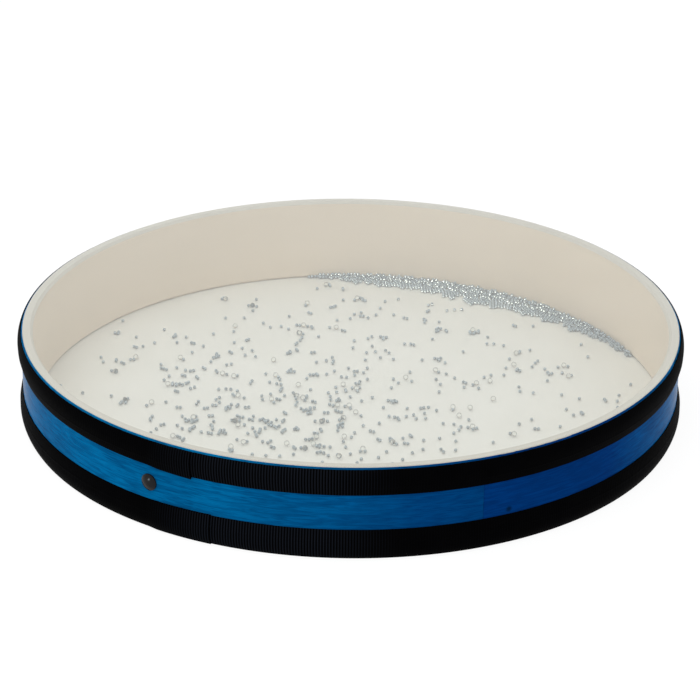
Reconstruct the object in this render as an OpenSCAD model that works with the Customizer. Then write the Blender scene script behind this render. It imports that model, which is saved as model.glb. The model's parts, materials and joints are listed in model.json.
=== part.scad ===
// Ocean drum: a shallow wooden frame drum with a clear head, a cream head and loose beads between them.
// Millimetres, +Z up. The drum lies on its cream head at z = 0, and its axis is the Z axis.
// The front, where the filling plug sits a little to the left, faces -Y.

/* [Shell] */
// Outside diameter of the bent wooden shell
shell_d = 500; // [360:10:620]
// Height of the drum over both heads
drum_h = 70; // [60:1:110]
// Thickness of one ply of the shell
ply_t = 1.5; // [1.2:0.1:2]
// Radius of the rounded outer edge at both rims
edge_round = 2.4; // [1.5:0.1:3.5]
// Width of the chamfer inside both rims
edge_chamfer = 2; // [0.5:0.1:3]
// Gap left in the seam of each ply
seam_gap = 0.2; // [0.1:0.05:0.5]

/* [Heads] */
// Thickness of the drum film
film_t = 0.25; // [0.2:0.05:0.5]
// Height of the film's skirt on the outside of the shell
skirt_h = 14; // [8:0.5:18]

/* [Edge tapes] */
// Width of the tape over the clear head's skirt
top_tape_w = 20.1; // [19:0.1:24]
// Width of the tape over the cream head's skirt
bottom_tape_w = 22.2; // [19:0.1:24]
// Distance from each head to the edge of its tape
tape_inset = 0.6; // [0.3:0.1:1]
// Thickness of the tape at its woven edges
tape_edge_t = 0.6; // [0.4:0.1:0.9]
// Furthest that the tape stands out from the shell
tape_swell = 2.7; // [1.5:0.1:3.5]
// Height of the line that the skirt's edge raises in the tape
ridge_h = 0.15; // [0.05:0.05:0.3]
// Radius of that line
ridge_r = 0.8; // [0.5:0.1:1.2]
// Length over which the ends of the upper tape lie on each other
top_lap_len = 37; // [15:1:60]
// Length over which the ends of the lower tape lie on each other
bottom_lap_len = 53; // [15:1:60]
// Thickness of the tape where it lies over its other end
lap_t = 0.9; // [0.4:0.1:1.2]
// How far the upper end droops past the edge of the lower one
lap_droop = 1; // [0.4:0.2:1.2]

/* [Filling plug] */
// Diameter of the plug's domed head
plug_head_d = 12.5; // [10:0.5:16]
// Thickness of the head's rim
plug_rim_h = 0.8; // [0.5:0.1:1.5]
// Height of the dome above its rim
plug_dome_h = 2; // [1:0.1:3]
// Diameter of the plug's stem over its grip rings
plug_stem_d = 9; // [7:0.1:9.5]
// Depth of the grooves between the grip rings
plug_groove = 0.4; // [0.2:0.1:0.6]
// Wall of the hollow stem, measured under the grooves
plug_wall = 1.1; // [0.8:0.1:1.5]
// Radial clearance of the stem in its bore
plug_fit = 0.08; // [0.03:0.01:0.1]
// Gap between the plug's head and the shell
plug_seat_gap = 0.1; // [0.05:0.05:0.3]
// Distance of the stem's end from the shell's inside
plug_recess = 0.3; // [0.2:0.1:1]

/* [Beads] */
// Diameter of a steel ball
ball_d = 2.5; // [2:0.1:3]
// Diameter of a clear glass bead
glass_d = 4; // [3:0.1:5]
// Gap kept between neighbouring beads
bead_gap = 0.1; // [0.06:0.01:0.2]
// Gap between a bead and the head or wall that it lies against
seat_gap = 0.25; // [0.2:0.05:0.4]
// Steel balls scattered in the centre, inner, middle, outer and wall zone
scatter_counts = [146, 200, 210, 86, 54];
// Glass beads in the same five zones
glass_counts = [14, 22, 18, 10, 5];

/* [Hidden] */

// Facets of large rings, of small round parts and of one bead
ring_fn = 240;
round_fn = 48;
bead_fn = 16;

// Shell
ply_count = 6;
shell_r = shell_d / 2;
shell_t = ply_count * ply_t;
chamber_r = shell_r - shell_t;
// Turn of the outer ply's seam from the front, and the step from there to the next ply's seam
seam_turn = 21.5;
seam_step_turn = 55;

// Tapes
top_seam_turn = -25.5;
bottom_seam_turn = -22.2;
// Turn by which the band runs on into each end of the lap, so that the two join
lap_grip_turn = 2;
// Share of the tape's width at which it stands out furthest, counted from the head
swell_share = 0.42;
swell_r = shell_r + tape_swell;

// Filling plug, half way up the blue band that the tapes leave open
plug_turn = -33.5;
band_bottom = tape_inset + bottom_tape_w;
band_top = drum_h - tape_inset - top_tape_w;
plug_z = (band_bottom + band_top) / 2;
plug_ring_count = 4;
// Share of one ring's pitch that the ring itself takes
plug_ring_share = 0.55;
plug_head_z = shell_r + plug_seat_gap;
plug_stem_z = chamber_r + plug_recess;
plug_core_d = plug_stem_d - 2 * plug_groove;

// Bead zones: shares of the chamber's radius at which one zone ends and the next begins
zone_shares = [0, 0.3, 0.5, 0.7, 0.835, 1];
zone_seeds = [11, 23, 37, 41, 59];
// Share of the steel balls that lie beside another bead, as rolling beads do
cluster_share = 0.36;
// Tries for each bead that is wanted, and chance numbers for each try
tries_count = 9;
chances_count = 5;
// The thickest part of the scatter, left of the centre, and its half widths, as shares of the chamber's
// radius
thick_centre_share = [-0.26, -0.26];
thick_width_share = [0.3, 0.38];
// How thin the scatter is away from there, as a share of the thickest, and how that grows right and back
thin_share = 0.17;
thin_lean_share = [0.8, 1.6];
// Middle of the heap in degrees from +X, how far from there the wall zone is left to loose beads, and how
// many balls clear of the heap they lie nearer to it
heap_turn = 60;
heap_half_turn = 47;
heap_clear_counts = 3;
wall_zone = len(zone_shares) - 2;

// Heap against the wall: a first row along it, balls that nest on that, and an upper layer in their pockets
ball_pitch = ball_d + bead_gap;
// Distance of a nested ball from those it touches, as a share of the pitch, just over the gap that is tested,
// and the most that chance adds to it, which keeps the heap from falling into straight rows
nest_share = 1.002;
nest_slack_share = 0.13;
// Reach within which two balls make a nest, and three a pocket, in pitches
nest_reach_share = 1.96;
pocket_reach_share = 1.35;
// Widest extra gap along the first row, as a share of a ball
row_slack_share = 0.12;
// Depth of the heap in balls, counted from the wall, at turns in degrees from +X
heap_depth_counts = [
    [20, 1.3], [23, 3.3], [26, 2.2], [29, 4.2], [32, 5.2], [36, 7.3], [38, 6.1], [42, 7.8],
    [46, 9], [49, 9.6], [52, 11.2], [54, 10.4], [57, 12], [59, 11.2], [62, 13.6], [65, 11.4],
    [68, 11.6], [72, 10], [76, 9], [79, 8], [82, 8.9], [85, 6.8], [88, 7.1], [91, 4.6], [94, 3.2],
    [96, 1.9], [99, 1]
];
// How far the heap's front edge runs out and in, in balls, and the two waves of that in a whole turn
ragged_share = 0.6;
ragged_counts = [61, 143];
// Share of that depth which the upper layer covers
upper_depth_share = 0.6;
upper_count = 190;
// Tries for nested balls and for those in pockets, and chance numbers for each try
nest_tries_count = 7000;
pocket_tries_count = 2500;
heap_chances_count = 4;
// How much more often a ball nests beside one of the last laid, 1 being no more often
late_share = 3;
heap_seed = 71;
// Depths in balls at which one node of the heap ends and the next begins
band_counts = [0, 1.5, 3.5, 6.5, 14];
wall_row_r = chamber_r - seat_gap - ball_d / 2;
floor_z = film_t + seat_gap;

// Overrun of cuts
over = edge_round;

// Radius of the arc that rises by s over a half chord h
function arc_radius(s, h) = (s * s + h * h) / (2 * s);

// Film's outer radius at height z above the head
function film_r(z) =
    let (r = edge_round + film_t)
    shell_r - edge_round + sqrt(r * r - pow(r - z, 2));

// Outline of the lower rim from the axis outwards, grown by the film's thickness or by nothing
module rim_outline(grow, height) {
    corner = [shell_r - edge_round, film_t + edge_round];
    translate([0, film_t - grow]) square([corner[0], height - film_t + grow]);
    translate([0, corner[1]]) square([shell_r + grow, height - corner[1]]);
    translate(corner) circle(r = edge_round + grow, $fn = round_fn);
}

// Section through the wooden shell: rounded outside, chamfered inside, the same at both rims
module shell_section() {
    difference() {
        intersection() {
            rim_outline(0, drum_h);
            translate([0, drum_h]) mirror([0, 1]) rim_outline(0, drum_h);
        }
        translate([-over, -over]) square([chamber_r + over, drum_h + 2 * over]);
        for (side = [0, 1])
            translate([chamber_r, side * drum_h]) mirror([0, side])
                polygon([
                    [-over, film_t + edge_chamfer + over],
                    [-over, -over],
                    [edge_chamfer + film_t + over, -over]
                ]);
    }
}

// One ply, the first being the outer one, with its seam and the bore for the plug
module shell_ply(index) {
    outer_r = shell_r - (index - 1) * ply_t;
    difference() {
        rotate_extrude($fn = ring_fn)
            intersection() {
                shell_section();
                translate([outer_r - ply_t, 0]) square([ply_t, drum_h]);
            }
        seam_slot(seam_turn + (index - 1) * seam_step_turn);
        plug_bore();
    }
}

// Slot between the ends of a ply, at a turn from the front, narrowing to nothing on the drum's axis
module seam_slot(turn) {
    reach = shell_r + over;
    half_gap = seam_gap / 2;
    rotate([0, 0, turn]) linear_extrude(drum_h)
        polygon([[0, 0], [-half_gap, -reach], [half_gap, -reach]]);
}

// Puts something built along +Z on to the plug's axis, which points out of the shell
module on_plug_axis() {
    translate([0, 0, plug_z]) rotate([90, 0, plug_turn]) children();
}

module plug_bore() {
    on_plug_axis()
        translate([0, 0, chamber_r - over])
            cylinder(r = plug_stem_d / 2 + plug_fit, h = shell_t + 2 * over, $fn = round_fn);
}

// Film head at z = 0: flat disc, turned round the rim into a skirt on the outside of the shell
module head_film() {
    rotate_extrude($fn = ring_fn)
        difference() {
            rim_outline(film_t, skirt_h);
            rim_outline(0, skirt_h + over);
        }
}

// Turns a piece of the lower rim over to the upper rim
module at_top() {
    translate([0, 0, drum_h]) mirror([0, 0, 1]) children();
}

// Outside of a tape, two arcs that meet where it stands out furthest, moved out by lift
module tape_outside(width, lift) {
    middle = tape_inset + swell_share * width;
    low_rise = swell_r - film_r(tape_inset) - tape_edge_t;
    high_rise = tape_swell - tape_edge_t;
    low_r = arc_radius(low_rise, middle - tape_inset);
    high_r = arc_radius(high_rise, tape_inset + width - middle);
    intersection() {
        translate([swell_r + lift - low_r, middle]) circle(r = low_r, $fn = ring_fn);
        translate([0, tape_inset]) square([2 * swell_r, middle - tape_inset]);
    }
    intersection() {
        translate([swell_r + lift - high_r, middle]) circle(r = high_r, $fn = ring_fn);
        translate([0, middle]) square([2 * swell_r, tape_inset + width - middle]);
    }
    // Line over the skirt's edge
    ridge_x = swell_r + lift - high_r + sqrt(high_r * high_r - pow(skirt_h - middle, 2));
    translate([ridge_x + ridge_h - ridge_r, skirt_h]) circle(r = ridge_r, $fn = round_fn);
}

// Section through a tape on the film's skirt and, past it, on the bare shell
module tape_section(width, lift) {
    difference() {
        intersection() {
            tape_outside(width, lift);
            translate([shell_r - edge_round, tape_inset])
                square([2 * edge_round + tape_swell + lap_t, width]);
        }
        rim_outline(film_t, skirt_h);
        rim_outline(0, drum_h);
    }
}

// Tape of one rim: a band with its upper end lapped over its lower one, which ends at a turn from the front
module edge_tape(width, turn, lap_len) {
    lap_turn = lap_len / (shell_r * PI / 180);
    rotate([0, 0, turn - 90 - lap_grip_turn])
        rotate_extrude(angle = 360 - lap_turn + 2 * lap_grip_turn, $fn = ring_fn)
            tape_section(width, 0);
    rotate([0, 0, turn - 90]) mirror([0, 1, 0])
        rotate_extrude(angle = lap_turn, $fn = ring_fn)
            tape_section(width + lap_droop, lap_t);
}

// Push-in plug along +Z: hollow stem with grip rings, rim and dome
module plug_body() {
    stem_len = plug_head_z - plug_stem_z;
    ring_pitch = stem_len / plug_ring_count;
    dome_r = arc_radius(plug_dome_h, plug_head_d / 2);
    difference() {
        union() {
            translate([0, 0, plug_stem_z]) cylinder(d = plug_core_d, h = stem_len, $fn = round_fn);
            for (i = [0:plug_ring_count - 1])
                translate([0, 0, plug_stem_z + i * ring_pitch])
                    cylinder(d = plug_stem_d, h = ring_pitch * plug_ring_share, $fn = round_fn);
        }
        translate([0, 0, plug_stem_z - over])
            cylinder(d = plug_core_d - 2 * plug_wall, h = stem_len + over, $fn = round_fn);
    }
    translate([0, 0, plug_head_z]) cylinder(d = plug_head_d, h = plug_rim_h, $fn = round_fn);
    intersection() {
        translate([0, 0, plug_head_z + plug_rim_h + plug_dome_h - dome_r]) sphere(r = dome_r, $fn = ring_fn);
        translate([0, 0, plug_head_z + plug_rim_h])
            cylinder(d = plug_head_d, h = plug_dome_h, $fn = round_fn);
    }
}

// How thick the scatter is at a place, 1 at its thickest
function scatter_share(p) =
    let (
        q = p / chamber_r - thick_centre_share,
        off = [q[0] / thick_width_share[0], q[1] / thick_width_share[1]]
    )
    thin_share * max(0, 1 + p / chamber_r * thin_lean_share) + (1 - thin_share) * exp(-off * off / 2);

// True where a bead of radius r at p clears its zone's limits and the heap
function in_zone(p, r, zone) =
    let (
        from = norm(p),
        low = zone_shares[zone] * chamber_r,
        high = zone_shares[zone + 1] * chamber_r
    )
    (zone == 0 || from > low + r + seat_gap)
    && from < high - r - seat_gap
    && (zone < wall_zone || turn_from_heap(p) > heap_half_turn || depth_of(p) > heap_foot(p));

// Depth from which a place clears the heap's front edge
function heap_foot(p) = heap_depth(atan2(p[1], p[0])) + heap_clear_counts * ball_pitch;

// Degrees between a place and the middle of the heap, as seen from the drum's axis
function turn_from_heap(p) = acos(p * [cos(heap_turn), sin(heap_turn)] / norm(p));

// True where a bead of radius r at p clears every bead [place, radius] of a list
function is_clear(p, r, beads) =
    len([for (b = beads) if (norm(p - b[0]) < r + b[1] + bead_gap) 1]) == 0;

// Place of one try from five chance numbers: beside a bead that lies there, or anywhere in the zone
function try_place(u, r, zone, lying, beside_share) =
    let (way = [cos(360 * u[1]), sin(360 * u[1])])
    len(lying) > 0 && u[3] < beside_share
        ? let (other = lying[floor(u[0] * len(lying))])
            other[0] + (other[1] + r + bead_gap * (1 + u[4])) * way
        : let (low = zone_shares[zone] * chamber_r, high = zone_shares[zone + 1] * chamber_r)
            sqrt(low * low + u[0] * (high * high - low * low)) * way;

// List of count beads of radius r thrown into a zone, each clear of the others and of those already there
function throw_beads(count, r, zone, seed, others, beside_share) =
    let (tries = count * tries_count, chances = rands(0, 1, chances_count * (tries + 1), seed))
    [for (
        i = 0, beads = [];
        i <= tries;
        u = [for (k = [0:chances_count - 1]) chances[chances_count * i + k]],
        p = try_place(u, r, zone, concat(others, beads), beside_share),
        kept = len(beads) < count && in_zone(p, r, zone)
            && (zone == wall_zone || u[2] < scatter_share(p))
            && is_clear(p, r, beads) && is_clear(p, r, others),
        beads = kept ? concat(beads, [[p, r]]) : beads,
        i = i + 1
    ) if (i == tries) beads][0];

// Glass beads of a zone, thrown singly, and its steel balls, which clear the glass
function glass_places(zone) =
    throw_beads(glass_counts[zone], glass_d / 2, zone, zone_seeds[zone], [], 0);

function ball_places(zone) =
    throw_beads(
        scatter_counts[zone], ball_d / 2, zone, zone_seeds[zone] + 1, glass_places(zone), cluster_share
    );

// Beads [place, radius] of a list, lying on the head
module beads_on_head(beads) {
    for (b = beads)
        translate([b[0][0], b[0][1], floor_z + b[1]]) sphere(r = b[1], $fn = bead_fn);
}

// Depth of the heap at a turn, from the first row's line, and the depth of a ball's place
function heap_depth(turn) =
    let (ragged = ragged_share * (sin(ragged_counts[0] * turn) + sin(ragged_counts[1] * turn)))
    (lookup(turn, heap_depth_counts) - 1 + ragged) * ball_pitch;

function depth_of(p) = wall_row_r - norm([p[0], p[1]]);

// True where a ball's place lies in a share of the heap's depth
function in_heap(p, share) =
    let (turn = atan2(p[1], p[0]), last = len(heap_depth_counts) - 1)
    turn > heap_depth_counts[0][0] && turn < heap_depth_counts[last][0]
    && depth_of(p) >= 0
    && depth_of(p) < share * heap_depth(turn);

// First row of places [x, y, height over the first layer], ball beside ball along the wall
function first_row() =
    let (
        last = heap_depth_counts[len(heap_depth_counts) - 1][0],
        step = 2 * asin(nest_share * ball_pitch / 2 / wall_row_r),
        count = ceil((last - heap_depth_counts[0][0]) / step),
        slack = rands(0, row_slack_share, count, heap_seed)
    )
    [for (i = 0, a = heap_depth_counts[0][0]; a < last; a = a + step * (1 + slack[i]), i = i + 1)
        wall_row_r * [cos(a), sin(a), 0]];

// Balls of a list that lie within reach of a place, and whether a place is clear of all balls of a list
function near_balls(p, balls, reach) = [for (b = balls) if (b != p && norm(b - p) < reach) b];

function is_free(p, balls) = len([for (b = balls) if (norm(b - p) < ball_pitch) 1]) == 0;

// Place at a reach from two balls of the first layer, on one side of them
function nest_of(a, b, side, reach) =
    let (across = b - a, rise = sqrt(reach * reach - across * across / 4))
    (a + b) / 2 + side * rise * [-across[1], across[0], 0] / norm(across);

// Place that touches three balls of the first layer from above
function pocket_of(a, b, c) =
    let (
        u = b - a,
        v = c - a,
        n = cross(u, v),
        middle = cross((u * u) * v - (v * v) * u, n) / (2 * n * n)
    )
    a + middle + [0, 0, sqrt(pow(nest_share * ball_pitch, 2) - middle * middle)];

// First layer: balls that roll up one after another, each against two that lie there
function first_layer() =
    let (chances = rands(0, 1, heap_chances_count * (nest_tries_count + 1), heap_seed + 1))
    [for (
        i = 0, balls = first_row();
        i <= nest_tries_count;
        u = [for (k = [0:heap_chances_count - 1]) chances[heap_chances_count * i + k]],
        a = balls[floor(len(balls) * (1 - pow(u[0], late_share)))],
        near = near_balls(a, balls, nest_reach_share * ball_pitch),
        b = near[floor(u[1] * len(near))],
        reach = (nest_share + nest_slack_share * u[3]) * ball_pitch,
        p = len(near) == 0 ? a : nest_of(a, b, sign(u[2] - 0.5), reach),
        balls = in_heap(p, 1) && is_free(p, balls) ? concat(balls, [p]) : balls,
        i = i + 1
    ) if (i == nest_tries_count) balls][0];

// Upper layer: balls in pockets of the first layer
function upper_layer(first) =
    let (chances = rands(0, 1, heap_chances_count * (pocket_tries_count + 1), heap_seed + 2))
    [for (
        i = 0, balls = [];
        i <= pocket_tries_count;
        u = [for (k = [0:heap_chances_count - 1]) chances[heap_chances_count * i + k]],
        a = first[floor(u[0] * len(first))],
        near = near_balls(a, first, pocket_reach_share * ball_pitch),
        b = near[floor(u[1] * len(near))],
        c = near[floor(u[2] * len(near))],
        fits = len(near) > 1 && b != c && norm(b - c) < pocket_reach_share * ball_pitch,
        p = fits ? pocket_of(a, b, c) : a,
        kept = fits && len(balls) < upper_count && in_heap(p, upper_depth_share)
            && is_free(p, first) && is_free(p, balls),
        balls = kept ? concat(balls, [p]) : balls,
        i = i + 1
    ) if (i == pocket_tries_count) balls][0];

// Balls of a list of places of the heap
module heap_balls(places) {
    for (p = places)
        translate([p[0], p[1], floor_z + ball_d / 2 + p[2]]) sphere(d = ball_d, $fn = bead_fn);
}

// One band of the first layer, counted from the wall
module heap_band(band) {
    heap_balls([
        for (p = first_layer())
            let (depth = depth_of(p) / ball_pitch)
            if (depth + 1 > band_counts[band] && depth + 1 <= band_counts[band + 1]) p
    ]);
}

module shell_ply_1() { color("royalblue") shell_ply(1); }
module shell_ply_2() { color("tan") shell_ply(2); }
module shell_ply_3() { color("burlywood") shell_ply(3); }
module shell_ply_4() { color("tan") shell_ply(4); }
module shell_ply_5() { color("burlywood") shell_ply(5); }
module shell_ply_6() { color("wheat") shell_ply(6); }
module top_head() { color("lightcyan", 0.3) at_top() head_film(); }
module bottom_head() { color("ivory") head_film(); }
module top_tape() { color("dimgray") at_top() edge_tape(top_tape_w, top_seam_turn, top_lap_len); }
module bottom_tape() { color("dimgray") edge_tape(bottom_tape_w, bottom_seam_turn, bottom_lap_len); }
module filling_plug() { color("black") on_plug_axis() plug_body(); }
module steel_balls_centre() { color("slategray") beads_on_head(ball_places(0)); }
module steel_balls_inner() { color("slategray") beads_on_head(ball_places(1)); }
module steel_balls_middle() { color("slategray") beads_on_head(ball_places(2)); }
module steel_balls_outer() { color("slategray") beads_on_head(ball_places(3)); }
module steel_balls_wall() { color("slategray") beads_on_head(ball_places(4)); }
module heap_balls_wall() { color("slategray") heap_band(0); }
module heap_balls_middle() { color("slategray") heap_band(1); }
module heap_balls_front() { color("slategray") heap_band(2); }
module heap_balls_foot() { color("slategray") heap_band(3); }
module heap_balls_upper() { color("slategray") heap_balls(upper_layer(first_layer())); }
module glass_beads_centre() { color("aliceblue") beads_on_head(glass_places(0)); }
module glass_beads_inner() { color("aliceblue") beads_on_head(glass_places(1)); }
module glass_beads_middle() { color("aliceblue") beads_on_head(glass_places(2)); }
module glass_beads_outer() { color("aliceblue") beads_on_head(glass_places(3)); }
module glass_beads_wall() { color("aliceblue") beads_on_head(glass_places(4)); }

shell_ply_1();
shell_ply_2();
shell_ply_3();
shell_ply_4();
shell_ply_5();
shell_ply_6();
top_head();
bottom_head();
top_tape();
bottom_tape();
filling_plug();
steel_balls_centre();
steel_balls_inner();
steel_balls_middle();
steel_balls_outer();
steel_balls_wall();
heap_balls_wall();
heap_balls_middle();
heap_balls_front();
heap_balls_foot();
heap_balls_upper();
glass_beads_centre();
glass_beads_inner();
glass_beads_middle();
glass_beads_outer();
glass_beads_wall();
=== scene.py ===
"""Ocean drum: materials, round beads, ribbed edge tapes, light and camera.

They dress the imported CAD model, which the frame holds. All lengths are in metres.
"""

import json
import math

import bmesh
import bpy
import numpy as np
from mathutils import Matrix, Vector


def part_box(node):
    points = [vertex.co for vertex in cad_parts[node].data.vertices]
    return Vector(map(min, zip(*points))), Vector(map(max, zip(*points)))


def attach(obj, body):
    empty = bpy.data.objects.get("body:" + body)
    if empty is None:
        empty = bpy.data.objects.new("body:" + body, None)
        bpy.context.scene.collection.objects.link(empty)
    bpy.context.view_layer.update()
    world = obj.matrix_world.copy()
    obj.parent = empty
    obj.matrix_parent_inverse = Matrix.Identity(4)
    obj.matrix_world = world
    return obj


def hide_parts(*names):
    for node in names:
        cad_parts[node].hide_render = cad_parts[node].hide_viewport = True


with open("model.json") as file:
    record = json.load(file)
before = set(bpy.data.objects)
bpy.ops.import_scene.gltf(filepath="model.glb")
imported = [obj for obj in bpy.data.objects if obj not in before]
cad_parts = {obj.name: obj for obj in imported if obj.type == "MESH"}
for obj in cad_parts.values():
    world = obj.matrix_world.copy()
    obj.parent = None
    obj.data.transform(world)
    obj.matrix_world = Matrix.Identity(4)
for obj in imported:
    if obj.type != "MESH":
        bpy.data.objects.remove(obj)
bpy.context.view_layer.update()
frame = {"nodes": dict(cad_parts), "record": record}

MM = 0.001

# Drum, from the frame
SHELL_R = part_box("shell_ply_1")[1].x
DRUM_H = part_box("top_head")[1].z

# Films: thickness, round over the rim's edge and height of the skirt, as in the part's source
FILM_T = 0.25 * MM
EDGE_ROUND = 2.4 * MM
SKIRT_H = 14 * MM

# Mesh of the clear film. It stands FILM_GAP off the wood, so that no two faces share a place, and its flat
# face has a ring of points at FLAT_R and another one FLAT_END inside the round
FILM_GAP = 0.03 * MM
FLAT_R = SHELL_R / 2
FLAT_END = 0.3 * MM
FILM_COLUMNS = 360
CORNER_ROWS = 13

# Tapes: distance from the rim, width, degrees from the front to the cut end, positive to the right, length
# and droop of the lap, and seed of the cut end's waves
TOP_TAPE = {
    "inset": 1.5 * MM,
    "width": 19.2 * MM,
    "turn": -25.5,
    "lap": 37 * MM,
    "droop": 1.3 * MM,
    "seed": 3,
}
BOTTOM_TAPE = {
    "inset": 0.6 * MM,
    "width": 22.2 * MM,
    "turn": -22.2,
    "lap": 53 * MM,
    "droop": 0.6 * MM,
    "seed": 5,
}

# Tape across its width: the outside stands TAPE_EDGE_T off what lies under its two edges, and swells to
# TAPE_SWELL off the shell at SWELL_SHARE of the width
TAPE_EDGE_T = 0.6 * MM
TAPE_SWELL = 2.7 * MM
SWELL_SHARE = 0.42
TAPE_ROWS = 19
# The inside stands BACK_GAP off what it lies on, and steps off the skirt within BACK_STEP
BACK_GAP = 0.02 * MM
BACK_STEP = 0.1 * MM

# Line that the skirt's edge raises in the tape, and the rows of points across it
RIDGE_H = 0.15 * MM
RIDGE_HALF = 0.7 * MM
RIDGE_ROW_SHARES = (-1, -0.6, -0.3, 0, 0.3, 0.6, 1)

# Lapped end: how far it stands up, and the length over which it rises
LAP_T = 0.9 * MM
LAP_RISE = 12 * MM

# Cut end: its waves along the shell and off it, how far they reach into the tape, and their lengths
CUT_WAVE = 0.35 * MM
CUT_LIFT = 0.25 * MM
CUT_REACH = 3 * MM
WAVE_LENGTHS = (9 * MM, 4 * MM, 2 * MM)

# Ribs, which fade out within RIB_FADE of the tape's edges
RIB_PITCH = 2 * MM
RIB_DEPTH = 0.13 * MM
RIB_FADE = 1.2 * MM
RIB_COLUMNS = 4
RIB_COUNT = round(2 * math.pi * (SHELL_R + TAPE_SWELL) / RIB_PITCH)

# Beads
STEEL_R = 1.25 * MM
GLASS_R = 2 * MM
STEEL_SUBDIVISIONS = 3
GLASS_SUBDIVISIONS = 4
# Corners of a bead's mesh that agree to this many decimals are one corner
CORNER_DIGITS = 7

# Edges that turn by more than this stay sharp
SHARP_TURN = math.radians(35)
TAPE_SHARP_TURN = math.radians(50)

# Camera, worked out from the drum's outline in the photograph
CAMERA_PLACE = (-0.0005, -1.69228, 0.82165)
CAMERA_PITCH = math.radians(24.747)
CAMERA_ROLL = math.radians(0.5797)
CAMERA_LENS = 124.93
SENSOR = 36

WHITE = (1, 1, 1, 1)


# Node trees

# Numbers of a mix node's sockets for the factor and the two colours, and for the mixed colour
MIX_INPUTS = (0, 6, 7)
MIX_OUTPUT = 2


class Tree:
    """One material's or world's node tree. Each call adds a node and returns it or its output."""

    def __init__(self, owner):
        owner.use_nodes = True
        self.tree = owner.node_tree
        self.tree.nodes.clear()

    def add(self, kind, inputs=None, **settings):
        """A node with its settings, whose inputs are sockets to link or values to set."""
        node = self.tree.nodes.new(kind)
        for name, value in settings.items():
            setattr(node, name, value)
        for name, value in (inputs or {}).items():
            if isinstance(value, bpy.types.NodeSocket):
                self.tree.links.new(value, node.inputs[name])
            else:
                node.inputs[name].default_value = value
        return node

    def math(self, operation, *values, clamp=False):
        inputs = dict(enumerate(values))
        return self.add("ShaderNodeMath", inputs, operation=operation, use_clamp=clamp).outputs[0]

    def ramp(self, value, start, end):
        """0 where value is at or before start, 1 at or past end, and a straight line in between."""
        inputs = {"Value": value, "From Min": start, "From Max": end}
        return self.add("ShaderNodeMapRange", inputs, clamp=True).outputs["Result"]

    def mix_colour(self, factor, first, second):
        """The first colour where factor is 0, and the second where it is 1."""
        inputs = dict(zip(MIX_INPUTS, (factor, first, second)))
        return self.add("ShaderNodeMix", inputs, data_type="RGBA").outputs[MIX_OUTPUT]

    def noise(self, place, scale, detail, distortion=0):
        inputs = {"Vector": place, "Scale": scale, "Detail": detail, "Distortion": distortion}
        return self.add("ShaderNodeTexNoise", inputs).outputs["Fac"]

    def stretched(self, place, scales):
        return self.add("ShaderNodeMapping", {"Vector": place, "Scale": scales}).outputs["Vector"]

    def place(self):
        return self.add("ShaderNodeTexCoord").outputs["Object"]

    def bump(self, height, distance, strength):
        inputs = {"Height": height, "Distance": distance, "Strength": strength}
        return self.add("ShaderNodeBump", inputs).outputs["Normal"]

    def surface(self, inputs):
        """Ends the tree in a principled shader."""
        self.end(self.add("ShaderNodeBsdfPrincipled", inputs).outputs[0])

    def end(self, shader, kind="ShaderNodeOutputMaterial"):
        self.add(kind, {"Surface": shader})


def new_material(name):
    material = bpy.data.materials.new(name)
    return material, Tree(material)


# Materials. A pair of colours is what a surface varies between, and scales are waves in a metre

# Blue stain, which reaches over the rounded outer edge to STAIN_R
STAIN_R = SHELL_R - 1.35 * MM
STAIN_BLEND = 0.1 * MM
STAIN_FINISH = {"roughness": 0.22, "gloss": 0.004}
TEAL = (0.0001, 0.162, 0.395, 1)
SEAM_BLUE = (0.0001, 0.057, 0.205, 1)
DEEP_BLUE = (0.0001, 0.038, 0.185, 1)
GRAIN_BLUE = (0.0001, 0.014, 0.075, 1)
KNOT_BLUE = (0.0004, 0.008, 0.022, 1)

# Turn of the outer ply's seam from the front. Past it the veneer starts deep blue and turns teal over
# DEEP_SPAN, and over SEAM_SPAN, towards its other end, it turns bluer again
SEAM_TURN = math.radians(21.5)
DEEP_SPAN = (110 * MM, 260 * MM)
SEAM_SPAN = (1370 * MM, 1530 * MM)

# Grain of the veneer: scales along and up the band, detail and distortion of the noise, the noise values
# at which the dark shade starts and is full, and how much of it shows
CLOUDS = {"scales": (16, 34, 1), "detail": 3, "distortion": 0, "span": (0.66, 0.36), "share": 0.3}
FLAMES = {"scales": (38, 420, 1), "detail": 3, "distortion": 1.2, "span": (0.6, 0.42), "share": 0.35}
STREAKS = {"scales": (90, 1300, 1), "detail": 2, "distortion": 0, "span": (0.5, 0.7), "share": 0.35}

# Knot: arc length past the seam, height, radius, share of it that is fully dark, and depth of the shade
KNOT_ARC = 19.6 * MM
KNOT_HEIGHT = 26.5 * MM
KNOT_R = 3 * MM
KNOT_CORE_SHARE = 0.3
KNOT_SHADE = 0.8

# Paint on the inside, and the greyer edge of the upper rim with its height and the blend into it
PAINT = ((0.7, 0.605, 0.475, 1), (0.775, 0.675, 0.545, 1))
PAINT_SCALES = (9, 30, 1)
PAINT_FINISH = {"roughness": 0.5, "gloss": 0.1}
RIM_EDGE = 2.2 * MM
RIM_BLEND = 0.2 * MM
RIM_GREY = ((0.5, 0.475, 0.41, 1), (0.56, 0.53, 0.46, 1))


def shell_places(tree):
    """Radius, arc length from the outer ply's seam, and height, for a point of the shell."""
    parts = tree.add("ShaderNodeSeparateXYZ", {"Vector": tree.place()}).outputs
    x_squared = tree.math("POWER", parts[0], 2.0)
    y_squared = tree.math("POWER", parts[1], 2.0)
    radius = tree.math("SQRT", tree.math("ADD", x_squared, y_squared))
    turn = tree.math("ARCTAN2", parts[0], tree.math("MULTIPLY", parts[1], -1.0))
    from_seam = tree.math("FLOORED_MODULO", tree.math("SUBTRACT", turn, SEAM_TURN), 2 * math.pi)
    return radius, tree.math("MULTIPLY", from_seam, SHELL_R), parts[2]


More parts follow.
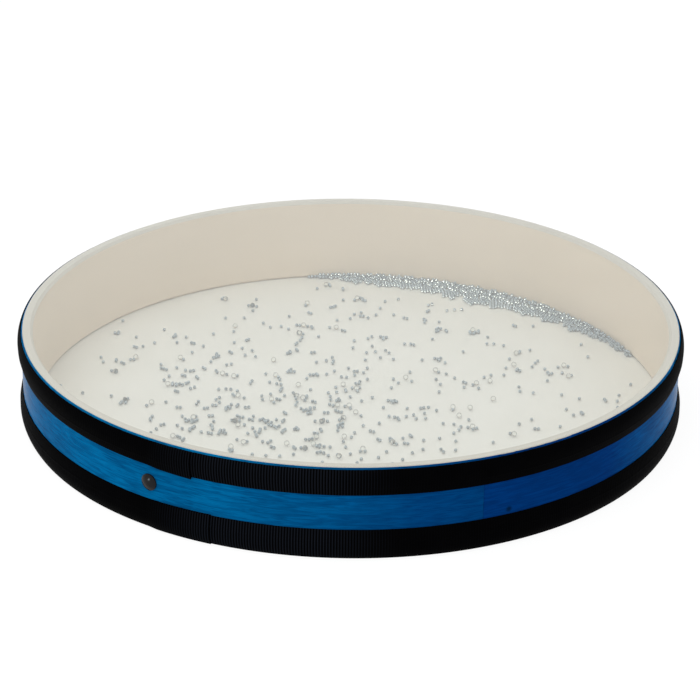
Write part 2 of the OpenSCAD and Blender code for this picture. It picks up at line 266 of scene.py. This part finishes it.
def blue_stain(tree, band, arc):
    """Blue stained veneer: teal and deep blue, clouds, flames and streaks of the grain, and one knot."""
    colour = tree.mix_colour(tree.ramp(arc, *SEAM_SPAN), TEAL, SEAM_BLUE)
    colour = tree.mix_colour(tree.ramp(arc, *DEEP_SPAN), DEEP_BLUE, colour)
    for grain in (CLOUDS, FLAMES, STREAKS):
        noise = tree.noise(tree.stretched(band, grain["scales"]), 1, grain["detail"], grain["distortion"])
        shade = tree.math("MULTIPLY", tree.ramp(noise, *grain["span"]), grain["share"])
        colour = tree.mix_colour(shade, colour, GRAIN_BLUE)
    knot = {0: band, 1: (KNOT_ARC, KNOT_HEIGHT, 0)}
    off_knot = tree.add("ShaderNodeVectorMath", knot, operation="DISTANCE").outputs["Value"]
    shade = tree.math("MULTIPLY", tree.ramp(off_knot, KNOT_R, KNOT_CORE_SHARE * KNOT_R), KNOT_SHADE)
    return tree.mix_colour(shade, colour, KNOT_BLUE)


def pale_paint(tree, band, height):
    """Cream paint on the inside, a little uneven, and the greyer edge at the upper rim."""
    uneven = tree.noise(tree.stretched(band, PAINT_SCALES), 1, detail=3)
    edge_start = DRUM_H - RIM_EDGE
    at_edge = tree.ramp(height, edge_start - RIM_BLEND, edge_start)
    return tree.mix_colour(at_edge, tree.mix_colour(uneven, *PAINT), tree.mix_colour(uneven, *RIM_GREY))


def shell_wood(name, roughness, gloss):
    """Wood of the shell: blue stain outside STAIN_R, and pale paint inside it."""
    material, tree = new_material(name)
    radius, arc, height = shell_places(tree)
    band = tree.add("ShaderNodeCombineXYZ", {0: arc, 1: height}).outputs[0]
    stained = tree.ramp(radius, STAIN_R - STAIN_BLEND, STAIN_R + STAIN_BLEND)
    colour = tree.mix_colour(stained, pale_paint(tree, band, height), blue_stain(tree, band, arc))
    tree.surface({"Base Color": colour, "Roughness": roughness, "Specular IOR Level": gloss})
    return material


# Clear film: its gloss as a multiple of a plain film's, what smudges add to that, and the distance from
# the shell's outside at which the gloss has faded out on the round
FILM_IOR = 1.5
FILM_GLOSS = 1.55
SMUDGE_GLOSS = 0.3
SMUDGE_SCALE = 9
GLOSS_END = 1 * MM
FILM_TINT = (0.98, 0.985, 0.98, 1)


def clear_film(name):
    """Clear film: it lets all light through but for a gloss that grows towards grazing angles."""
    material, tree = new_material(name)
    front = tree.math("SUBTRACT", 1.0, tree.add("ShaderNodeNewGeometry").outputs["Backfacing"])
    fresnel = tree.add("ShaderNodeFresnel", {"IOR": FILM_IOR}).outputs[0]
    smudges = tree.math("MULTIPLY", tree.noise(tree.place(), SMUDGE_SCALE, detail=2), SMUDGE_GLOSS)
    on_flat = tree.ramp(shell_places(tree)[0], SHELL_R - GLOSS_END, SHELL_R - EDGE_ROUND)
    gloss = tree.math("MULTIPLY", tree.math("ADD", FILM_GLOSS, smudges), on_flat)
    factor = tree.math("MULTIPLY", tree.math("MULTIPLY", fresnel, front), gloss, clamp=True)
    clear = tree.add("ShaderNodeBsdfTransparent", {"Color": FILM_TINT}).outputs[0]
    shine = tree.add("ShaderNodeBsdfGlossy", {"Color": WHITE, "Roughness": 0.06}).outputs[0]
    tree.end(tree.add("ShaderNodeMixShader", {0: factor, 1: clear, 2: shine}).outputs[0])
    return material


# Cream film
CREAM = ((0.665, 0.655, 0.59, 1), (0.725, 0.715, 0.66, 1))
CREAM_SCALE = 14


def cream_film(name):
    """Opaque cream film with a satin face."""
    material, tree = new_material(name)
    cloud = tree.noise(tree.place(), CREAM_SCALE, detail=4)
    tree.surface({"Base Color": tree.mix_colour(cloud, *CREAM), "Roughness": 0.45})
    return material


# Cloth tape: black with dust, and threads that run round the drum
TAPE_BLACK = ((0.0003, 0.0003, 0.0004, 1), (0.0014, 0.0013, 0.0015, 1))
DUST_SCALE = 60
THREAD_SCALES = (1200, 1200, 4000)
THREAD_DEPTH = 0.05 * MM
THREAD_STRENGTH = 0.4
# Each rib's crest has a painted highlight: its colour, how much of it shows, and the value of a cosine
# with the ribs' pitch past which it starts to show
RIB_HIGHLIGHT_GREY = (0.007, 0.009, 0.013, 1)
RIB_HIGHLIGHT_SHARE = 0.06
RIB_HIGHLIGHT_START = -0.2
# Around the laps the painted rib highlights show in full: arc length past the seam of the middle of that
# stretch, and the distances from there at which this starts and is reached
FULL_HIGHLIGHT_ARC = 1420 * MM
FULL_HIGHLIGHT_START = 90 * MM
FULL_HIGHLIGHT_REACHED = 40 * MM


def ribbed_tape(name):
    """Black cloth tape with fine threads, and a painted highlight on each rib's crest."""
    material, tree = new_material(name)
    place = tree.place()
    dust = tree.noise(place, DUST_SCALE, detail=4)
    threads = tree.noise(tree.stretched(place, THREAD_SCALES), 1, detail=1)
    arc = shell_places(tree)[1]
    # Painted highlight: a lighter colour along each rib's crest, shown in full around the laps
    rib = tree.math("COSINE", tree.math("MULTIPLY", arc, RIB_COUNT / SHELL_R))
    off_full_highlight = tree.math("ABSOLUTE", tree.math("SUBTRACT", arc, FULL_HIGHLIGHT_ARC))
    highlight_shown = tree.math("ADD", RIB_HIGHLIGHT_SHARE, tree.ramp(off_full_highlight, FULL_HIGHLIGHT_START, FULL_HIGHLIGHT_REACHED))
    rib_highlight = tree.math("MULTIPLY", tree.ramp(rib, RIB_HIGHLIGHT_START, 1), highlight_shown)
    tree.surface({
        "Base Color": tree.mix_colour(rib_highlight, tree.mix_colour(dust, *TAPE_BLACK), RIB_HIGHLIGHT_GREY),
        "Roughness": 0.5,
        "Specular IOR Level": 0.005,
        "Normal": tree.bump(threads, THREAD_DEPTH, THREAD_STRENGTH),
    })
    return material


# Plug, with the roughness of clean plastic and what scuffs add to it
PLUG_BLACK = ((0.004, 0.004, 0.005, 1), (0.009, 0.009, 0.01, 1))
SCUFF_SCALE = 400
PLUG_ROUGHNESS = 0.16
SCUFF_ROUGHNESS = 0.12


def plug_plastic(name):
    material, tree = new_material(name)
    scuffs = tree.noise(tree.place(), SCUFF_SCALE, detail=3)
    roughness = tree.math("ADD", PLUG_ROUGHNESS, tree.math("MULTIPLY", scuffs, SCUFF_ROUGHNESS))
    colour = tree.mix_colour(scuffs, *PLUG_BLACK)
    tree.surface({"Base Color": colour, "Roughness": roughness, "Specular IOR Level": 0.15})
    return material


# Steel, and the noise values between which its tone changes
STEEL_GREY = ((0.32, 0.375, 0.395, 1), (0.38, 0.435, 0.455, 1))
STEEL_SCALE = 300
STEEL_SPAN = (0.3, 0.7)


def steel(name):
    """Satin steel shot, each ball a little lighter or darker than the next."""
    material, tree = new_material(name)
    tone = tree.ramp(tree.noise(tree.place(), STEEL_SCALE, detail=1), *STEEL_SPAN)
    colour = tree.mix_colour(tone, *STEEL_GREY)
    tree.surface({"Base Color": colour, "Metallic": 0.05, "Roughness": 0.36, "Specular IOR Level": 0.2})
    return material


# Glass: its tint, the painted shade at a bead's outline, and the facing values between which one turns into
# the other
GLASS = ((0.93, 0.96, 0.95, 1), (0.99, 0.99, 0.98, 1))
GLASS_SCALE = 120
GLASS_RIM_SHADE = (0.12, 0.135, 0.135, 1)
RIM_SHADE_SPAN = (0.2, 0.65)


def bead_glass(name):
    """Clear glass whose tint is darkened towards each bead's outline, as painted shade."""
    material, tree = new_material(name)
    tint = tree.mix_colour(tree.noise(tree.place(), GLASS_SCALE, detail=1), *GLASS)
    facing = tree.add("ShaderNodeLayerWeight", {"Blend": 0.5}).outputs["Facing"]
    # Painted shade: the tint turns dark grey towards each bead's outline
    tint = tree.mix_colour(tree.ramp(facing, *RIM_SHADE_SPAN), tint, GLASS_RIM_SHADE)
    tree.surface({"Base Color": tint, "Roughness": 0.03, "IOR": 1.5, "Transmission Weight": 1.0})
    return material


SLOT_MATERIALS = {
    "blue_wood": shell_wood("stained_ply", **STAIN_FINISH),
    "core_wood": shell_wood("core_ply", **PAINT_FINISH),
    "pale_wood": shell_wood("painted_ply", **PAINT_FINISH),
    "clear_film": clear_film("clear_head"),
    "cream_film": cream_film("cream_head"),
    "edge_tape": ribbed_tape("cloth_tape"),
    "plug_plastic": plug_plastic("plug"),
    "steel": steel("steel_shot"),
    "bead_glass": bead_glass("clear_bead"),
}


# Pieces

def dress_cad_nodes():
    """Gives every CAD node its slot's material and rounded shading, with its vertices left as they are."""
    for part in frame["record"]["subparts"]:
        mesh = frame["nodes"][part["node"]].data
        material = SLOT_MATERIALS[part["material_slot"]]
        mesh.materials.clear()
        mesh.materials.append(material)
        mesh.shade_smooth()
        mesh.set_sharp_from_angle(angle=SHARP_TURN)


def body_of_node(node):
    bodies = frame["record"]["behaviour"]["bodies"]
    return next(body for body, nodes in bodies.items() if node in nodes)


def mesh_piece(name, points, faces, material_slot, node):
    """A smooth mesh piece that stands for a CAD node and rides on its body."""
    mesh = bpy.data.meshes.new(name)
    mesh.from_pydata(points.reshape(-1, 3).tolist(), [], faces)
    mesh.materials.append(SLOT_MATERIALS[material_slot])
    mesh.shade_smooth()
    piece = bpy.data.objects.new(name, mesh)
    bpy.context.scene.collection.objects.link(piece)
    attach(piece, body_of_node(node))
    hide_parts(node)
    return piece


# Beads

def joined_groups(edges, count):
    """For each of count corners, the lowest corner that it is joined to along the edges."""
    first, second = edges.T
    group = np.arange(count)
    changed = True
    while changed:
        before = group.copy()
        lowest = np.minimum(group[first], group[second])
        np.minimum.at(group, first, lowest)
        np.minimum.at(group, second, lowest)
        group = group[group]
        changed = bool((group != before).any())
    return group


def bead_centres(node):
    """Centre of each bead of a CAD node, the middle of each connected part of its mesh."""
    mesh = frame["nodes"][node].data
    places = np.empty(3 * len(mesh.vertices))
    mesh.vertices.foreach_get("co", places)
    places = places.reshape(-1, 3)
    edges = np.empty(2 * len(mesh.edges), int)
    mesh.edges.foreach_get("vertices", edges)
    corners, corner = np.unique(np.round(places, CORNER_DIGITS), axis=0, return_inverse=True)
    corner = corner.ravel()
    group = joined_groups(corner[edges.reshape(-1, 2)], len(corners))
    groups, bead = np.unique(group[corner], return_inverse=True)
    low = np.full((len(groups), 3), np.inf)
    high = np.full((len(groups), 3), -np.inf)
    np.minimum.at(low, bead, places)
    np.maximum.at(high, bead, places)
    return (low + high) / 2


def ball_template(radius, subdivisions):
    """Points and faces of one round ball."""
    ball = bmesh.new()
    bmesh.ops.create_icosphere(ball, subdivisions=subdivisions, radius=radius)
    points = np.array([v.co for v in ball.verts])
    faces = np.array([[v.index for v in f.verts] for f in ball.faces])
    ball.free()
    return points, faces


def round_beads(node, radius, subdivisions, material_slot):
    """Round balls at the places of a CAD node's beads."""
    points, faces = ball_template(radius, subdivisions)
    centres = bead_centres(node)
    all_points = centres[:, None, :] + points[None]
    shifts = np.arange(len(centres)) * len(points)
    all_faces = (shifts[:, None, None] + faces[None]).reshape(-1, 3).tolist()
    return mesh_piece("round_" + node, all_points, all_faces, material_slot, node)


def make_beads():
    """Round balls and beads for all their nodes. Returns the steel ones."""
    steel_balls = []
    for node in frame["nodes"]:
        if "balls" in node:
            steel_balls.append(round_beads(node, STEEL_R, STEEL_SUBDIVISIONS, "steel"))
        elif "beads" in node:
            round_beads(node, GLASS_R, GLASS_SUBDIVISIONS, "bead_glass")
    return steel_balls


# Clear head and tapes

def turned_faces(points, closed):
    """Faces of a grid of points [column, row] whose columns follow each other right round the drum's axis.

    In a closed grid the last row joins the first one, and an open one is capped along both.
    """
    columns, rows = points.shape[:2]
    column, row = np.meshgrid(np.arange(columns), np.arange(rows if closed else rows - 1), indexing="ij")
    next_column = (column + 1) % columns
    next_row = (row + 1) % rows
    corners = [(column, row), (next_column, row), (next_column, next_row), (column, next_row)]
    faces = np.stack([c * rows + r for c, r in corners], 2).reshape(-1, 4).tolist()
    if not closed:
        first_row = np.arange(columns) * rows
        faces += [first_row[::-1].tolist(), (first_row + rows - 1).tolist()]
    return faces


def make_clear_head():
    """The clear head as one smooth sheet: a disc turned down round the rim into its skirt."""
    outside = EDGE_ROUND + FILM_T
    inside = EDGE_ROUND + FILM_GAP
    corner = SHELL_R - EDGE_ROUND
    turns = np.linspace(0, math.pi / 2, CORNER_ROWS)
    flat = (FLAT_R, corner - FLAT_END)
    # Radius and depth below the clear head's face
    profile = [(r, 0) for r in flat]
    profile += [(corner + outside * math.sin(t), outside - outside * math.cos(t)) for t in turns]
    profile += [(SHELL_R + FILM_T, SKIRT_H), (SHELL_R + FILM_GAP, SKIRT_H)]
    profile += [(corner + inside * math.sin(t), outside - inside * math.cos(t)) for t in turns[::-1]]
    profile += [(r, FILM_T - FILM_GAP) for r in flat[::-1]]
    radius, depth = np.array(profile).T
    turn = np.arange(FILM_COLUMNS)[:, None] * 2 * math.pi / FILM_COLUMNS
    heights = np.repeat((DRUM_H - depth)[None], FILM_COLUMNS, 0)
    points = np.stack([radius[None] * np.cos(turn), radius[None] * np.sin(turn), heights], 2)
    faces = [face[::-1] for face in turned_faces(points, False)]
    piece = mesh_piece("clear_head_film", points, faces, "clear_film", "top_head")
    piece.data.set_sharp_from_angle(angle=SHARP_TURN)


def film_radius(height):
    """Outside of the film's skirt at a height above its head."""
    r = EDGE_ROUND + FILM_T
    fall = np.clip(r - height, 0, None)
    return SHELL_R - EDGE_ROUND + np.sqrt(r * r - fall * fall)


def arc_rise(offset, reach, rise):
    """Height of an arc at an offset from its top: rise at the top itself, and 0 at an offset of reach."""
    radius = (rise * rise + reach * reach) / (2 * rise)
    return np.sqrt(radius * radius - offset * offset) - (radius - rise)


def tape_outside(height, inset, width):
    """Radius of a tape's outside at a height above its head."""
    middle = inset + SWELL_SHARE * width
    low_r = film_radius(np.array(inset)) + TAPE_EDGE_T
    high_r = SHELL_R + TAPE_EDGE_T
    swell_r = SHELL_R + TAPE_SWELL
    low = low_r + arc_rise(height - middle, middle - inset, swell_r - low_r)
    high = high_r + arc_rise(height - middle, inset + width - middle, swell_r - high_r)
    ridge = RIDGE_H * np.clip(1 - ((height - SKIRT_H) / RIDGE_HALF) ** 2, 0, None)
    return np.where(height < middle, low, high) + ridge


def wave(values, seed):
    """Smooth chance values between about -1 and 1 along a list of places in metres."""
    chance = np.random.default_rng(seed)
    total = np.zeros_like(values)
    for length in WAVE_LENGTHS:
        total += np.sin(2 * math.pi * (values / length + chance.random())) * length
    return total / sum(WAVE_LENGTHS)


def tape_surface(kind):
    """Points [column, row] of a tape: its outside from the head to the free edge, then its inside back."""
    inset = kind["inset"]
    width = kind["width"]
    cut = math.radians(kind["turn"])
    columns = RIB_COUNT * RIB_COLUMNS
    ahead = np.linspace(0, 2 * math.pi, columns + 1)
    arc = ahead * SHELL_R
    to_end = arc[-1] - arc
    near_ridge = SKIRT_H + np.array(RIDGE_ROW_SHARES) * RIDGE_HALF
    rows = np.union1d(np.linspace(inset, inset + width, TAPE_ROWS), near_ridge)
    share = (rows - inset) / width

    # The last stretch stands up as if it lay on the tape's start, and its free edge droops
    lap = np.clip((kind["lap"] - to_end) / LAP_RISE, 0, 1)
    lap = lap * lap * (3 - 2 * lap)
    droop = kind["droop"] * np.clip(1 - to_end / kind["lap"], 0, 1)
    heights = rows[None] + droop[:, None] * share[None] ** 2

    edge_fade = np.clip(np.minimum(share, 1 - share) * width / RIB_FADE, 0, 1)
    rib = (np.cos(ahead * RIB_COUNT) - 1) * RIB_DEPTH / 2
    radius = tape_outside(rows, inset, width)[None] + LAP_T * lap[:, None] + rib[:, None] * edge_fade[None]
    near_end = np.clip(1 - to_end / CUT_REACH, 0, 1)
    radius += CUT_LIFT * (wave(rows, kind["seed"]) * share)[None] * near_end[:, None]

    near_cut = np.clip(1 - np.minimum(arc, to_end) / CUT_REACH, 0, 1)
    cut_wave = near_cut[:, None] * CUT_WAVE * wave(rows, kind["seed"] + 1)[None]
    turn = cut + ahead[:, None] + cut_wave / SHELL_R

    # The inside, which follows the shell and the skirt
    back = np.array([inset + width, SKIRT_H + BACK_STEP, SKIRT_H, inset + EDGE_ROUND, inset])
    back_r = np.where(back > SKIRT_H, SHELL_R, film_radius(back)) + BACK_GAP
    back_heights = np.repeat(back[None], columns + 1, 0)
    back_heights[:, 0] += droop
    radius = np.hstack([radius, np.repeat(back_r[None], columns + 1, 0)])
    heights = np.hstack([heights, back_heights])
    turn = np.hstack([turn, np.repeat(cut + ahead[:, None], len(back), 1)])
    return np.stack([radius * np.sin(turn), -radius * np.cos(turn), heights], 2)


def make_tape(name, node, kind, upside_down):
    """A ribbed tape with its lapped end, for the lower rim or turned over for the upper one."""
    points = tape_surface(kind)
    faces = turned_faces(points, True)
    if upside_down:
        points[:, :, 2] = DRUM_H - points[:, :, 2]
        faces = [face[::-1] for face in faces]
    piece = mesh_piece(name, points, faces, "edge_tape", node)
    piece.data.set_sharp_from_angle(angle=TAPE_SHARP_TURN)


# Surroundings

# World: colour and strength of the soft light, and strength of the white that is seen
SOFT_COLOUR = (0.97, 0.985, 1, 1)
SOFT_STRENGTH = 0.95
WHITE_STRENGTH = 1.0

# Floor: half its side, its grey, and the glow that hides all but a share of the light and shadow on it
FLOOR_HALF = 20
FLOOR_GREY = (0.8, 0.8, 0.8, 1)
FLOOR_GLOW = 1.07
FLOOR_GLOW_SHARE = 0.85

# Lamps: degrees from the front towards the left, degrees above the floor, distance, size, power in watts
# and colour, which is white where none is given
KEY_LAMP = {"azimuth": 45, "elevation": 66, "distance": 2.2, "size": 1.4, "power": 15}
SHOT_GLINT = {
    "azimuth": 24,
    "elevation": 9.35,
    "distance": 2.0,
    "size": 0.05,
    "power": 7000,
    "colour": (1, 0.92, 0.78),
}
PLUG_GLINT = {
    "azimuth": 51,
    "elevation": 3.9,
    "distance": 2.0,
    "size": 0.08,
    "power": 7,
    "colour": (0.8, 0.92, 1),
}


def seen_rays(tree):
    """1 for camera, glossy and transmission rays, which see a plain white surrounding."""
    path = tree.add("ShaderNodeLightPath").outputs
    seen = tree.math("MAXIMUM", path["Is Camera Ray"], path["Is Glossy Ray"])
    return tree.math("MAXIMUM", seen, path["Is Transmission Ray"])


def make_world():
    """Soft white light from all round, seen as a white backdrop."""
    world = bpy.data.worlds.new("studio")
    bpy.context.scene.world = world
    tree = Tree(world)
    soft = tree.add("ShaderNodeBackground", {"Color": SOFT_COLOUR, "Strength": SOFT_STRENGTH}).outputs[0]
    white = tree.add("ShaderNodeBackground", {"Color": WHITE, "Strength": WHITE_STRENGTH}).outputs[0]
    mixed = tree.add("ShaderNodeMixShader", {0: seen_rays(tree), 1: soft, 2: white}).outputs[0]
    tree.end(mixed, "ShaderNodeOutputWorld")


def make_floor():
    """Pale floor: white as seen, with a faint share of the light and shadow that fall on it."""
    corners = [(x * FLOOR_HALF, y * FLOOR_HALF, 0) for x, y in ((-1, -1), (1, -1), (1, 1), (-1, 1))]
    mesh = bpy.data.meshes.new("floor")
    mesh.from_pydata(corners, [], [(0, 1, 2, 3)])
    floor = bpy.data.objects.new("floor", mesh)
    bpy.context.scene.collection.objects.link(floor)
    material, tree = new_material("floor")
    diffuse = tree.add("ShaderNodeBsdfDiffuse", {"Color": FLOOR_GREY}).outputs[0]
    glow = tree.add("ShaderNodeEmission", {"Color": WHITE, "Strength": FLOOR_GLOW}).outputs[0]
    share = tree.math("MULTIPLY", seen_rays(tree), FLOOR_GLOW_SHARE)
    tree.end(tree.add("ShaderNodeMixShader", {0: share, 1: diffuse, 2: glow}).outputs[0])
    mesh.materials.append(material)


def make_lamp(name, azimuth, elevation, distance, size, power, colour=(1, 1, 1)):
    """A square lamp that looks at the origin, the middle of the drum's underside."""
    lamp = bpy.data.lights.new(name, "AREA")
    lamp.size = size
    lamp.energy = power
    lamp.color = colour
    a = math.radians(azimuth)
    e = math.radians(elevation)
    lamp_object = bpy.data.objects.new(name, lamp)
    bpy.context.scene.collection.objects.link(lamp_object)
    way = np.array([-math.sin(a) * math.cos(e), -math.cos(a) * math.cos(e), math.sin(e)])
    lamp_object.location = way * distance
    turned = Matrix.Rotation(-a, 4, "Z") @ Matrix.Rotation(math.radians(90) - e, 4, "X")
    lamp_object.rotation_euler = turned.to_euler()
    return lamp_object


def make_glint(name, settings, collection_name, pieces):
    """A small lamp that adds no light but its own reflection in some pieces, which a collection lists."""
    receivers = bpy.data.collections.new(collection_name)
    for piece in pieces:
        receivers.objects.link(piece)
    lamp_object = make_lamp(name, **settings)
    lamp_object.light_linking.receiver_collection = receivers
    lamp_object.visible_diffuse = False


def make_camera():
    camera = bpy.data.cameras.new("camera")
    camera.lens = CAMERA_LENS
    camera.sensor_width = SENSOR
    camera_object = bpy.data.objects.new("camera", camera)
    bpy.context.scene.collection.objects.link(camera_object)
    tilt = Matrix.Rotation(math.radians(90) - CAMERA_PITCH, 4, "X")
    roll = Matrix.Rotation(CAMERA_ROLL, 4, "Z")
    camera_object.matrix_world = Matrix.Translation(CAMERA_PLACE) @ tilt @ roll
    bpy.context.scene.camera = camera_object


dress_cad_nodes()
steel_balls = make_beads()
make_clear_head()
make_tape("ribbed_top_tape", "top_tape", TOP_TAPE, upside_down=True)
make_tape("ribbed_bottom_tape", "bottom_tape", BOTTOM_TAPE, upside_down=False)
make_world()
make_floor()
key = make_lamp("key", **KEY_LAMP)
# Without this the clear head shows the lamp when it is seen from above
key.visible_glossy = False
make_glint("shot_glint", SHOT_GLINT, "steel_shot", steel_balls)
make_glint("plug_glint", PLUG_GLINT, "plug", [frame["nodes"]["filling_plug"]])
make_camera()
bpy.context.scene.view_settings.view_transform = "Standard"
